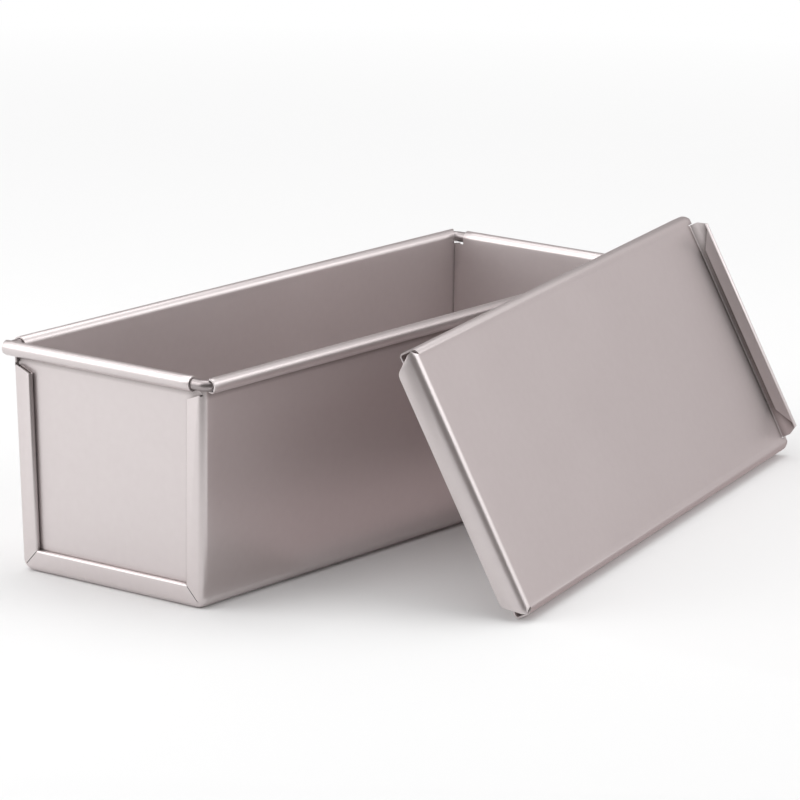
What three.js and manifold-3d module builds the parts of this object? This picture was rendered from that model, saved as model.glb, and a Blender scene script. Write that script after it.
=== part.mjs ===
// A long loaf pan folded from coated sheet steel, with a wired rim and a lid that slides on.
// The lid is off the pan: it stands on the table and leans on the rim of one long side.
// Millimetres, +Z up, +X along the pan, with the origin in the middle of the pan's underside.

import * as THREE from 'three';
import { mergeVertices } from 'three/addons/utils/BufferGeometryUtils.js';
import Module from 'manifold-3d';

const wasm = await Module();
wasm.setup();

// Pan, measured over the rolled rim, and how far each wall draws in from rim to base
const panLength = 336;
const panWidth = 122;
const panHeight = 104.5;
const sideDraft = 2.6;
const endDraft = 3.6;

// Sheet steel, the clearance between layers of a seam, and the one where pieces rest together
const sheet = 0.7;
const seamGap = 0.2;
const seatGap = 0.3;

// Folds of the pan's body
const baseCornerRadius = 5.5;
const endCornerRadius = 3.4;
const creaseRadius = 0.3;
const flapWidth = 10.4;
const flapLapDrop = 6.8;
const flapShortDrop = 4.5;
const flapTopSlope = 3.5;
const flangeTopDrop = 0.8;
const mitreWidth = 0.35;
const mitreEndInset = 3;
const reliefHoleDiameter = 1.4;
const reliefHoleInset = 2;

// Rim: a wire loop, and the sheet rolled round it with one long and one short end at each corner
const wireDiameter = 5;
const wireGap = 0.2;
const wireBendRadius = 4.2;
const rollLap = 3.6;
const rollShort = 12;
const lapChamfer = 2.2;

// Lid: a panel with a channel along each long edge, a stop at one end and a grip at the other
const lidSlideGap = 0.8;
const lidOverLength = 1;
const channelHeadroom = 0.9;
const channelLip = 5.2;
const channelGap = 0.6;
const channelTongue = 3.5;
const channelCornerCut = 3;
const channelBendRadius = 1.7;
const panelBendRadius = 3.5;
const stopSetback = 3.3;
const stopHeight = 11.4;
const stopTipDrop = 1.7;
const stopTaper = 5;
const stopCornerRadius = 4;
const gripHeight = 8.9;
const gripSetback = 5.5;
const gripBendRadius = 1.4;
const gripLean = THREE.MathUtils.degToRad(15);
const gripCornerCut = 2.8;
const gripCornerDrop = 4.7;
const hemGap = 1.2;
const hemEdgeHeight = 2.8;
const hemEndTaper = 9;
const hemEndInset = 5;

// How the lid leans: its angle from upright, its turn from the pan, its middle's place along the pan
const lidLean = THREE.MathUtils.degToRad(27.2);
const lidTurn = THREE.MathUtils.degToRad(13.6);
const lidShift = 68;

// Overrun of the cutting shapes, and the distance under which two vertices are one
const overrun = 1;
const weldDistance = 1e-4;

// Steps of the round stretches, and where a roll's sheet ends on its way round the wire
const bendSteps = 5;
const hemSteps = 6;
const rollSteps = 26;
const wireSides = 16;
const wireBendSteps = 7;
const rollEndAngle = THREE.MathUtils.degToRad(-130);

// Sizes that follow from those above
const wireRadius = wireDiameter / 2;
const rollBore = wireRadius + wireGap;
const rollRadius = rollBore + sheet;
const rimHeight = panHeight - rollRadius;
const wireHalfLength = panLength / 2 - rollRadius;
const wireHalfWidth = panWidth / 2 - rollRadius;
const wallHalfWidth = wireHalfWidth - rollRadius + sheet;
const endFace = wireHalfLength - rollRadius;
const cornerTop = rimHeight - wireRadius - seatGap;

// Layers of the end seam, each as its distance out from the inner face of the end panel
const returnLayer = sheet + seamGap;
const flangeLayer = returnLayer + sheet + seamGap;
const flapLayer = flangeLayer + sheet + seamGap;
const seamDepth = flapLayer + sheet;

const coatedSteel = { color: 0xb5abaa, roughness: 0.42, metalness: 0.85 };
const bareWire = { color: 0xbdb6b5, roughness: 0.35, metalness: 0.9 };

const HALF_TURN = Math.PI;
const QUARTER_TURN = Math.PI / 2;

function point(x, y) {
  return new THREE.Vector2(x, y);
}

// Points of an arc, both ends included
function arc(x, y, radius, from, to, steps) {
  const points = [];
  for (let i = 0; i <= steps; i += 1) {
    const angle = from + ((to - from) * i) / steps;
    points.push(point(x + radius * Math.cos(angle), y + radius * Math.sin(angle)));
  }
  return points;
}

function rectangle(left, bottom, right, top) {
  return [point(left, bottom), point(right, bottom), point(right, top), point(left, top)];
}

// One half of an outline and its mirror image across x = 0
function mirrored(half) {
  return [...half, ...half.map((p) => point(-p.x, p.y)).reverse()];
}

// Solids

function toSolid(geometry) {
  const bare = geometry.clone();
  bare.deleteAttribute('normal');
  bare.deleteAttribute('uv');
  const welded = mergeVertices(bare, weldDistance);
  return new wasm.Manifold(new wasm.Mesh({
    numProp: 3,
    vertProperties: new Float32Array(welded.attributes.position.array),
    triVerts: new Uint32Array(welded.index.array),
  }));
}

function toGeometry(solid) {
  const { numProp, vertProperties, triVerts } = solid.getMesh();
  const positions = [];
  for (let i = 0; i < vertProperties.length; i += numProp) {
    positions.push(vertProperties[i], vertProperties[i + 1], vertProperties[i + 2]);
  }
  const geometry = new THREE.BufferGeometry();
  geometry.setAttribute('position', new THREE.Float32BufferAttribute(positions, 3));
  geometry.setIndex([...triVerts]);
  geometry.computeVertexNormals();
  return geometry;
}

// An outline pushed through from one place to another along an axis. The outline's two directions are
// Y and Z along X, X and Z along Y, and X and Y along Z.
function bar(axis, outline, from, to) {
  const x = new THREE.Vector3(1, 0, 0);
  const y = new THREE.Vector3(0, 1, 0);
  const z = new THREE.Vector3(0, 0, 1);
  const turn = new THREE.Matrix4();
  const shift = new THREE.Vector3();
  if (axis === 'x') {
    turn.makeBasis(y, z, x);
    shift.setX(from);
  } else if (axis === 'y') {
    turn.makeBasis(x, z, y.clone().negate());
    shift.setY(to);
  } else {
    shift.setZ(from);
  }
  const geometry = new THREE.ExtrudeGeometry(new THREE.Shape(outline), {
    depth: to - from,
    bevelEnabled: false,
  });
  geometry.applyMatrix4(turn);
  geometry.translate(shift.x, shift.y, shift.z);
  return toSolid(geometry);
}

// Signed volume of a closed mesh, positive where its faces point out
function signedVolume(positions, index) {
  const corner = (i) => new THREE.Vector3().fromArray(positions, index[i] * 3);
  let volume = 0;
  for (let i = 0; i < index.length; i += 3) {
    volume += corner(i).dot(corner(i + 1).cross(corner(i + 2))) / 6;
  }
  return volume;
}

// A solid through rings of equal count, capped where it has a section, else joined end to end
function loft(rings, section) {
  const clockwise = section && THREE.ShapeUtils.isClockWise(section);
  const ordered = clockwise ? rings.map((ring) => [...ring].reverse()) : rings;
  const outline = clockwise ? [...section].reverse() : section;
  const count = ordered[0].length;
  const positions = ordered.flat().flatMap((p) => [p.x, p.y, p.z]);
  const faces = [];
  const spans = outline ? ordered.length - 1 : ordered.length;
  for (let r = 0; r < spans; r += 1) {
    const here = r * count;
    const next = ((r + 1) % ordered.length) * count;
    for (let i = 0; i < count; i += 1) {
      const j = (i + 1) % count;
      faces.push([here + i, here + j, next + j], [here + i, next + j, next + i]);
    }
  }
  if (outline) {
    const last = (ordered.length - 1) * count;
    for (const [a, b, c] of THREE.ShapeUtils.triangulateShape(outline, [])) {
      faces.push([a, c, b], [last + a, last + b, last + c]);
    }
  }
  const inward = signedVolume(positions, faces.flat()) < 0;
  const geometry = new THREE.BufferGeometry();
  geometry.setAttribute('position', new THREE.Float32BufferAttribute(positions, 3));
  geometry.setIndex(faces.flatMap(([a, b, c]) => (inward ? [a, c, b] : [a, b, c])));
  return toSolid(geometry);
}

function turnedHalf(solid) {
  return solid.rotate([0, 0, THREE.MathUtils.radToDeg(HALF_TURN)]);
}

// Draws a piece of the pan in towards its base: nothing at the rim's wire, the full draft at the table
function drafted(solid) {
  const geometry = toGeometry(solid);
  const place = geometry.attributes.position;
  for (let i = 0; i < place.count; i += 1) {
    const share = 1 - place.getZ(i) / rimHeight;
    place.setX(i, place.getX(i) * (1 - (endDraft / endFace) * share));
    place.setY(i, place.getY(i) * (1 - (sideDraft / wallHalfWidth) * share));
  }
  geometry.computeVertexNormals();
  return geometry;
}

// Body: sections are drawn with x as the distance in from the walls' outer face

// Where a line at a given distance in from the outer face runs, down one wall, along the base and up
function troughLine(inset) {
  const radius = Math.max(baseCornerRadius - inset, creaseRadius);
  const y = wallHalfWidth - inset - radius;
  const z = inset + radius;
  const right = arc(y, z, radius, 0, -QUARTER_TURN, bendSteps);
  return mirrored([point(wallHalfWidth - inset, cornerTop), ...right]);
}

// Sweeps a section of (distance in, place along the pan) round the walls and base
function troughSweep(section) {
  const lines = section.map((p) => troughLine(p.x));
  const rings = lines[0].map((_, station) => section.map((p, i) => {
    const { x: y, y: z } = lines[i][station];
    return new THREE.Vector3(p.y, y, z);
  }));
  return loft(rings, section);
}

// The body's hook at one end: out past the end panel, in over it, and back under the panel's flange
function bodyHook() {
  const hemRadius = (seamDepth - returnLayer) / 2;
  const hemPlace = point(flapWidth - hemRadius, endFace + returnLayer + hemRadius);
  const bendPlace = point(endCornerRadius, endFace + seamDepth - endCornerRadius);
  return [
    ...arc(bendPlace.x, bendPlace.y, endCornerRadius, HALF_TURN, QUARTER_TURN, bendSteps),
    ...arc(hemPlace.x, hemPlace.y, hemRadius, QUARTER_TURN, -QUARTER_TURN, hemSteps),
    point(endCornerRadius, endFace + returnLayer),
    point(endCornerRadius, endFace + returnLayer + sheet),
    ...arc(hemPlace.x, hemPlace.y, hemRadius - sheet, -QUARTER_TURN, QUARTER_TURN, hemSteps),
    ...arc(bendPlace.x, bendPlace.y, endCornerRadius - sheet, QUARTER_TURN, HALF_TURN, bendSteps),
  ];
}

function bodyTrough() {
  const hook = bodyHook();
  const farHook = hook.map((p) => point(p.x, -p.y)).reverse();
  return troughSweep([...hook, ...farHook]);
}

// Height where a far flap's slanted top begins. It is lower under the end roll's lap, on the -Y side, than
// at the roll's short end.
function flapTop(side) {
  return rimHeight - (side < 0 ? flapLapDrop : flapShortDrop);
}

// Room above a slant that follows a far flap's top, from a given layer of the seam outwards
function aboveFlap(side, top, layer) {
  const inner = side * (wallHalfWidth - flapWidth - overrun);
  const outer = side * (wallHalfWidth - reliefHoleInset);
  return bar('x', [
    point(inner, top - flapTopSlope),
    point(outer, top),
    point(outer, rimHeight),
    point(inner, rimHeight),
  ], endFace + layer - seamGap / 2, endFace + seamDepth + overrun);
}

// Slanted top, relief hole and mitred lower corner of one far flap
function flapCuts(side) {
  const outer = side * (wallHalfWidth - reliefHoleInset);
  const holeRadius = reliefHoleDiameter / 2;
  const hole = bar(
    'x',
    arc(outer, flapTop(side) + holeRadius, holeRadius, 0, 2 * HALF_TURN, wireSides).slice(1),
    endFace + returnLayer,
    endFace + seamDepth + overrun,
  );
  const half = mitreWidth / 2;
  const from = point(side * (wallHalfWidth - mitreEndInset), mitreEndInset);
  const to = point(side * (wallHalfWidth - flapWidth - overrun), flapWidth + overrun);
  const mitre = bar('x', [
    point(from.x - half, from.y - half * side),
    point(from.x + half, from.y + half * side),
    point(to.x + half, to.y + half * side),
    point(to.x - half, to.y - half * side),
  ], endFace + returnLayer - seamGap / 2, endFace + seamDepth + overrun);
  return aboveFlap(side, flapTop(side), returnLayer).add(hole).add(mitre);
}

// Rim roll, drawn with x along the rim, y out from the wire and z up from it. Its +x end laps over the
// corner, cut back there on the inside where the wire turns, and its -x end stops short of the corner.
function rimRoll(halfRim) {
  const stub = cornerTop - rimHeight - overrun;
  const outline = [
    point(-rollRadius, stub),
    ...arc(0, 0, rollRadius, HALF_TURN, rollEndAngle, rollSteps),
    ...arc(0, 0, rollBore, rollEndAngle, HALF_TURN, rollSteps),
    point(-rollBore, stub),
  ];
  const lapEnd = halfRim - rollLap;
  const bendStart = halfRim - rollRadius - wireBendRadius;
  const inside = -rollRadius - overrun;
  const corner = bar('z', [
    point(lapEnd + overrun, 0),
    point(lapEnd + overrun, inside),
    point(bendStart, inside),
    point(bendStart, -rollRadius),
    point(lapEnd, 0),
  ], stub - overrun, rollRadius + overrun);
  const chamfer = bar('y', [
    point(lapEnd - lapChamfer, -rollRadius),
    point(lapEnd, -rollRadius / 2),
    point(lapEnd + overrun, -rollRadius / 2),
    point(lapEnd + overrun, stub - overrun),
    point(lapEnd - lapChamfer, stub - overrun),
  ], inside, rollRadius + overrun);
  return bar('x', outline, rollShort - halfRim, lapEnd).subtract(corner).subtract(chamfer);
}

// The long side's roll on the -Y side, lapping the near corner
function sideRoll() {
  return turnedHalf(rimRoll(panLength / 2)).translate([0, -wireHalfWidth, rimHeight]);
}

// The end panel's roll at the near end, lapping the corner on the +Y side
function endRoll() {
  const quarter = THREE.MathUtils.radToDeg(QUARTER_TURN);
  return rimRoll(panWidth / 2).rotate([0, 0, quarter]).translate([-wireHalfLength, 0, rimHeight]);
}

// Room round an end roll, which the body's corners keep clear of
function endRollRoom() {
  const radius = rollRadius + seatGap;
  const round = arc(-wireHalfLength, rimHeight, radius, 0, 2 * HALF_TURN, rollSteps).slice(1);
  return bar('y', round, rollShort - panWidth / 2 - seatGap, panWidth / 2 - rollLap + seatGap);
}

// The rim's wire: one rounded rectangle of round section, of any radius of section
function wireLoop(radius) {
  const x = wireHalfLength - wireBendRadius;
  const y = wireHalfWidth - wireBendRadius;
  const corners = [[x, y], [-x, y], [-x, -y], [x, -y]];
  const rings = corners.flatMap(([cornerX, cornerY], quarter) => {
    const from = quarter * QUARTER_TURN;
    return arc(0, 0, 1, from, from + QUARTER_TURN, wireBendSteps).map((out) => (
      arc(wireBendRadius, 0, radius, 0, 2 * HALF_TURN, wireSides).slice(1).map((p) => new THREE.Vector3(
        cornerX + out.x * p.x,
        cornerY + out.y * p.x,
        rimHeight + p.y,
      ))
    ));
  });
  return loft(rings);
}

// Body: two long sides and the base in one sheet, with its flaps and side rolls
function bodyGeometry() {
  const nearCuts = turnedHalf(flapCuts(1)).add(turnedHalf(flapCuts(-1)));
  const endCuts = flapCuts(1).add(flapCuts(-1)).add(nearCuts);
  const rollRoom = endRollRoom().add(turnedHalf(endRollRoom()));
  return drafted(bodyTrough()
    .subtract(endCuts)
    .subtract(rollRoom)
    .add(sideRoll())
    .add(turnedHalf(sideRoll()))
    .subtract(wireLoop(wireRadius + wireGap / 2)));
}

// The end panel's flange, hooked into the body's flap. It follows the inside of the flap's bend.
function panelFlange() {
  const radius = endCornerRadius - sheet - seamGap;
  const centre = point(endCornerRadius, -endFace - seamDepth + endCornerRadius);
  const bendFrom = (r, layer) => HALF_TURN + Math.asin((centre.y + endFace + layer) / r);
  const hemRadius = (seamDepth - returnLayer) / 2;
  const edge = flapWidth - hemRadius - seamGap;
  const inner = radius - sheet;
  const section = [
    point(flapWidth + overrun, -endFace),
    ...arc(centre.x, centre.y, radius, bendFrom(radius, 0), HALF_TURN + QUARTER_TURN, bendSteps),
    point(edge, -endFace - flangeLayer - sheet),
    point(edge, -endFace - flangeLayer),
    ...arc(centre.x, centre.y, inner, HALF_TURN + QUARTER_TURN, bendFrom(inner, sheet), bendSteps),
    point(flapWidth + overrun, -endFace - sheet),
  ];
  return troughSweep(section);
}

function panelPlate() {
  const line = troughLine(flapWidth);
  return bar('x', line, -endFace - sheet, -endFace);
}

// End panel: a flat plate, the hooked flange round three edges and the end's roll on top
function endPanelGeometry() {
  const reach = wallHalfWidth + overrun;
  const underRoll = bar(
    'x',
    rectangle(-reach, rimHeight - rollRadius - seatGap, reach, rimHeight),
    -endFace - seamDepth - overrun,
    -endFace - sheet - seamGap,
  );
  const flangeTops = [1, -1].map((side) => (
    turnedHalf(aboveFlap(side, flapTop(side) - flangeTopDrop, flangeLayer))
  ));
  return drafted(panelFlange()
    .subtract(underRoll)
    .subtract(flangeTops[0])
    .subtract(flangeTops[1])
    .add(panelPlate())
    .add(endRoll())
    .subtract(wireLoop(wireRadius + wireGap / 2)));
}

// Lid, drawn with x along it, y across it and z out of its upper face, which lies at zero

const lidHalfLength = (panLength + lidOverLength) / 2;
const lidHalfWidth = panWidth / 2 + lidSlideGap + sheet;
const stopFace = stopSetback - lidHalfLength;
const channelStart = stopFace + panelBendRadius + channelGap;
const channelDepth = 2 * rollRadius + channelHeadroom + 2 * sheet;
const gripHalfWidth = lidHalfWidth - gripSetback;
const hemThickness = 2 * sheet + hemGap;

// The panel with both channels, as one bent sheet
function channelOutline() {
  const upper = panelBendRadius;
  const lower = channelBendRadius;
  const upperPlace = point(lidHalfWidth - upper, -upper);
  const lowerPlace = point(lidHalfWidth - lower, lower - channelDepth);
  const edge = lidHalfWidth - channelLip;
  const half = [
    ...arc(upperPlace.x, upperPlace.y, upper, QUARTER_TURN, 0, bendSteps),
    ...arc(lowerPlace.x, lowerPlace.y, lower, 0, -QUARTER_TURN, bendSteps),
    point(edge, -channelDepth),
    point(edge, sheet - channelDepth),
    ...arc(lowerPlace.x, lowerPlace.y, lower - sheet, -QUARTER_TURN, 0, bendSteps),
    ...arc(upperPlace.x, upperPlace.y, upper - sheet, 0, QUARTER_TURN, bendSteps),
  ];
  return mirrored(half);
}

function lidChannels() {
  const end = lidHalfLength + channelTongue;
  const cuts = [1, -1].map((side) => bar('z', [
    point(end - channelCornerCut, side * (lidHalfWidth + overrun)),
    point(end - channelCornerCut, side * lidHalfWidth),
    point(end, side * (lidHalfWidth - channelCornerCut)),
    point(end + overrun, side * (lidHalfWidth - channelCornerCut)),
    point(end + overrun, side * (lidHalfWidth + overrun)),
  ], -channelDepth - overrun, overrun));
  return bar('x', channelOutline(), channelStart, end)
    .subtract(cuts[0])
    .subtract(cuts[1]);
}

// Opening in the panel's far edge that the grip rises from
function gripNotch() {
  const start = lidHalfLength - gripBendRadius;
  const end = lidHalfLength + channelTongue + overrun;
  const outline = rectangle(start, -gripHalfWidth, end, gripHalfWidth);
  return bar('z', outline, -sheet - overrun, overrun);
}

// The end that turns down and stops the lid against the rim. Its corners are tapered and rounded below,
// and cut off above, where the channels' bends begin.
function stopFlange() {
  const bend = panelBendRadius;
  const x = stopFace + bend;
  const outline = [
    point(channelStart + overrun, 0),
    ...arc(x, -bend, bend, QUARTER_TURN, HALF_TURN, bendSteps),
    point(stopFace, -stopHeight),
    point(stopFace + sheet, -stopHeight),
    ...arc(x, -bend, bend - sheet, HALF_TURN, QUARTER_TURN, bendSteps),
    point(channelStart + overrun, -sheet),
  ];
  const top = lidHalfWidth - sheet;
  const flat = lidHalfWidth - bend;
  const round = stopCornerRadius;
  const foot = top - stopTaper - round;
  const cornerEnd = QUARTER_TURN - Math.atan2(stopHeight - stopTipDrop, stopTaper);
  const corner = arc(foot, round - stopHeight, round, -QUARTER_TURN, cornerEnd, bendSteps);
  const face = mirrored([...corner, point(top, -stopTipDrop), point(flat, 0), point(flat, overrun)]);
  return bar('y', outline, -top, top).intersect(bar('x', face, stopFace - overrun, lidHalfLength));
}

// The end that turns up as a grip leaning out, hemmed towards the panel, with its tips cut off and the
// hem's ends cut to a taper
function gripFlange() {
  const bend = gripBendRadius;
  const x = lidHalfLength - bend + sheet;
  const z = bend - sheet;
  const fold = hemThickness / 2;
  const foldX = lidHalfLength + sheet - fold;
  const foldZ = gripHeight - fold;
  const leaned = (place) => place.rotateAround(point(x, z), -gripLean);
  const lip = [
    point(x - overrun, -sheet),
    ...arc(x, z, bend, -QUARTER_TURN, -gripLean, bendSteps),
    ...arc(foldX, foldZ, fold, 0, QUARTER_TURN, hemSteps).map(leaned),
    ...arc(foldX, foldZ, fold - sheet, QUARTER_TURN, 0, hemSteps).map(leaned),
    ...arc(x, z, bend - sheet, -gripLean, -QUARTER_TURN, bendSteps),
    point(x - overrun, 0),
  ];
  const hem = [
    ...arc(foldX, foldZ, fold, QUARTER_TURN, HALF_TURN, hemSteps),
    point(foldX - fold, hemEdgeHeight),
    point(foldX - fold + sheet, hemEdgeHeight),
    ...arc(foldX, foldZ, fold - sheet, HALF_TURN, QUARTER_TURN, hemSteps),
  ].map(leaned);
  const half = gripHalfWidth - seatGap;
  const edge = gripHeight + overrun;
  const lipHalf = [
    point(half, -sheet - overrun),
    point(half, gripHeight - gripCornerDrop),
    point(half - gripCornerCut, gripHeight),
  ];
  const hemHalf = [
    point(half - hemEndInset - hemEndTaper, hemEdgeHeight - overrun),
    point(half - hemEndInset, foldZ),
    point(half - hemEndInset, edge),
  ];
  const reach = [lidHalfLength - hemThickness - overrun, lidHalfLength + sheet + gripHeight];
  return bar('y', lip, -half, half)
    .intersect(bar('x', mirrored(lipHalf), ...reach))
    .add(bar('y', hem, -half, half).intersect(bar('x', mirrored(hemHalf), ...reach)));
}

function lidGeometry() {
  return toGeometry(lidChannels()
    .subtract(gripNotch())
    .add(stopFlange())
    .add(gripFlange()));
}

// How far out the pan's long side stands at a height: its wall, or its roll beside the wire
function sideReach(height) {
  const above = height - rimHeight;
  const wall = above < 0 ? wallHalfWidth + (sideDraft * above) / rimHeight : 0;
  const roll = Math.abs(above) < rollRadius ? wireHalfWidth + Math.sqrt(rollRadius ** 2 - above ** 2) : 0;
  return Math.max(wall, roll);
}

// The lid's place: its lower channel stands on the table, and it is pushed in until it meets the pan's
// long side at the far end, as a rule with its panel on the roll, and on a tall pan with its upper channel
function leaningLid(mesh) {
  const along = new THREE.Vector3(Math.cos(lidTurn), Math.sin(lidTurn), 0);
  const away = new THREE.Vector3(Math.sin(lidTurn), -Math.cos(lidTurn), 0);
  const out = new THREE.Vector3(0, 0, Math.sin(lidLean)).addScaledVector(away, Math.cos(lidLean));
  const across = new THREE.Vector3().crossVectors(out, along);
  const foot = channelDepth * out.z;
  const middle = new THREE.Vector3(lidShift, 0, foot + lidHalfWidth * across.z);

  const rim = new THREE.Vector3(panLength / 2 - rollShort, -wireHalfWidth, rimHeight);
  const lack = rim.clone().addScaledVector(out, sheet + seatGap + rollRadius).sub(middle).dot(out);
  const panelPlace = middle.clone().setY(lack / out.y);

  const edge = across.clone().multiplyScalar(lidHalfWidth).addScaledVector(out, -channelDepth).add(middle);
  const edgeAtEnd = edge.y + ((endFace - edge.x) * along.y) / along.x;
  const edgePlace = middle.clone().setY(-sideReach(edge.z) - seatGap - edgeAtEnd);

  const meetsPanel = rim.clone().sub(panelPlace).dot(across) < lidHalfWidth;
  middle.y = Math.min(edgePlace.y, meetsPanel ? panelPlace.y : edgePlace.y);

  const place = new THREE.Group();
  place.position.copy(middle);
  place.quaternion.setFromRotationMatrix(new THREE.Matrix4().makeBasis(along, across, out));
  place.add(mesh);
  return place;
}

function piece(name, geometry, look) {
  const mesh = new THREE.Mesh(geometry, new THREE.MeshStandardMaterial(look));
  mesh.name = name;
  return mesh;
}

const endPanel = endPanelGeometry();
const farPanel = piece('far_end_panel', endPanel, coatedSteel);
farPanel.rotation.z = HALF_TURN;

const pan = new THREE.Group();
pan.add(
  piece('body', bodyGeometry(), coatedSteel),
  piece('near_end_panel', endPanel, coatedSteel),
  farPanel,
  piece('rim_wire', drafted(wireLoop(wireRadius)), bareWire),
  leaningLid(piece('lid', lidGeometry(), coatedSteel)),
);

export default pan;
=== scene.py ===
"""A long sheet-steel loaf pan with a wired rim, and its slide-on lid leaning on the pan's long side.

Each sheet of the product is drawn as its middle surface, folded and rolled the way a press and a
seaming tool do it, and then given its thickness. Lengths are millimetres until a mesh is finished.
"""

import logging
import math
from dataclasses import dataclass, field
from enum import Enum
from typing import Callable, ClassVar, Iterable, Sequence, Union

import bmesh
import bpy
from bmesh.types import BMEdge, BMesh, BMFace, BMVert
from mathutils import Matrix, Vector


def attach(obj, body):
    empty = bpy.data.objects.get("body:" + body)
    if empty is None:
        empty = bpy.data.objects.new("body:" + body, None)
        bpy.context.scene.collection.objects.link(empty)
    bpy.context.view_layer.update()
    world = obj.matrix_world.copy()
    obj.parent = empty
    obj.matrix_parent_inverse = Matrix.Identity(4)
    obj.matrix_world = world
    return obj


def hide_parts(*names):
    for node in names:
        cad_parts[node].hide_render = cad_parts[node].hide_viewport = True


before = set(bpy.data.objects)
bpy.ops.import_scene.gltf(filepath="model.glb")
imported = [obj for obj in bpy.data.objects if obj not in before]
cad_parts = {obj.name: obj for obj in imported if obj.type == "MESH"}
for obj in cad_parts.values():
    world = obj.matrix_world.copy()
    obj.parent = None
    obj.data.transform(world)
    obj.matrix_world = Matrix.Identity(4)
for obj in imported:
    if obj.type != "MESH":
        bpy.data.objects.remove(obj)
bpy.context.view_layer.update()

LOG = logging.getLogger("loaf_pan")
MILLIMETRE = 0.001
QUARTER = math.pi / 2
SPLIT_TOLERANCE = 1e-5
PICK_TOLERANCE = 1e-4
MERGE_TOLERANCE = 1e-3
SHARP_ANGLE = math.radians(35)
CUT_ANGLE = math.radians(50)
CUT_SEGMENTS = 2
NOISE_MIDDLE = 0.5
EDGE_SAMPLES = 4
FOLD_SHADE_SAMPLES = 6
# The gains bring the wear mask on a sharp edge and the painted shade in a right-angled fold to about 1.
EDGE_GAIN = 4
FOLD_SHADE_GAIN = 2

Number = Union[float, "Value"]
Colour = Union[Sequence[float], "Value"]
Edges = list[BMEdge]


class Body(Enum):
    """The rigid bodies that pieces ride on."""

    PAN = "pan"
    LID = "lid"


class Slot(Enum):
    """The record's material slots."""

    STEEL = "coated_steel"
    WIRE = "rim_wire"


class End(Enum):
    """The pan's two ends, by the sign of their place along X."""

    NEAR = -1
    FAR = 1


@dataclass(frozen=True)
class PanSizes:
    """Sizes of the pan, measured over its rolled rim, and of the folds that close it.

    A draft is how far a wall draws in from rim to base. The flaps' drops are measured down from the
    wire's centre line, the flange's drop from the flap's top, and an inset in from an outer face.
    """

    length: float = 336.0
    width: float = 122.0
    height: float = 104.5
    side_draft: float = 2.6
    end_draft: float = 3.6
    sheet: float = 0.7
    seam_gap: float = 0.2
    seat_gap: float = 0.3
    base_radius: float = 5.5
    end_radius: float = 3.4
    crease_radius: float = 0.3
    flap_width: float = 10.4
    flap_lap_drop: float = 6.8
    flap_short_drop: float = 4.5
    flap_slope: float = 3.5
    flange_drop: float = 0.8
    flat_margin: float = 1.0
    mitre_width: float = 0.35
    mitre_inset: float = 3.0
    hole_diameter: float = 1.4
    hole_inset: float = 2.0
    wire_diameter: float = 5.0
    wire_gap: float = 0.2
    wire_bend: float = 4.2
    roll_lap: float = 3.6
    roll_short: float = 12.0
    lap_chamfer: float = 2.2
    roll_end_angle: float = math.radians(-130)
    cut_rounding: float = 0.15

    @property
    def half_sheet(self) -> float:
        """From a sheet's middle surface to either face."""
        return self.sheet / 2

    @property
    def wire_radius(self) -> float:
        """Radius of the rim's wire."""
        return self.wire_diameter / 2

    @property
    def roll_radius(self) -> float:
        """Outside radius of the rolled rim."""
        return self.wire_radius + self.wire_gap + self.sheet

    @property
    def roll_middle(self) -> float:
        """Radius of the rolled sheet's middle surface."""
        return self.roll_radius - self.half_sheet

    @property
    def rim_height(self) -> float:
        """Height of the wire's centre line."""
        return self.height - self.roll_radius

    @property
    def wire_x(self) -> float:
        """The wire's centre line at the ends."""
        return self.length / 2 - self.roll_radius

    @property
    def wire_y(self) -> float:
        """The wire's centre line at the long sides."""
        return self.width / 2 - self.roll_radius

    @property
    def wall_y(self) -> float:
        """Outer face of a long side, at the rim."""
        return self.wire_y - self.roll_radius + self.sheet

    @property
    def end_face(self) -> float:
        """Inner face of an end panel, at the rim."""
        return self.wire_x - self.roll_radius

    @property
    def corner_top(self) -> float:
        """Where the sheets end under the wire at the corners."""
        return self.rim_height - self.wire_radius - self.seat_gap

    @property
    def return_layer(self) -> float:
        """Near face of the flap's return, out from the end panel's inner face."""
        return self.sheet + self.seam_gap

    @property
    def flange_layer(self) -> float:
        """Near face of the end panel's flange."""
        return self.return_layer + self.sheet + self.seam_gap

    @property
    def seam_depth(self) -> float:
        """Outer face of the flap."""
        return self.flange_layer + self.sheet + self.seam_gap + self.sheet

    @property
    def hem_radius(self) -> float:
        """Outside radius of the flap's hem."""
        return (self.seam_depth - self.return_layer) / 2

    def flap_top(self, side: int, end: End) -> float:
        """Height where a flap's slanted top begins.

        Args:
            side: The flap's long side, by the sign of its place along Y.
            end: The flap's end of the pan.

        Returns:
            The height, which is lower under the end roll's lap than at the roll's short end.
        """
        lapped = side * end.value < 0
        return self.rim_height - (self.flap_lap_drop if lapped else self.flap_short_drop)

    def draw_in(self, place: Vector) -> Vector:
        """Draws a point of the pan in towards its base.

        Args:
            place: A point of the pan as if its walls were upright.

        Returns:
            The point with its share of the draft, which is nothing at the rim's wire.
        """
        share = 1 - place.z / self.rim_height
        along = 1 - self.end_draft / self.end_face * share
        across = 1 - self.side_draft / self.wall_y * share
        return Vector((place.x * along, place.y * across, place.z))


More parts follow.
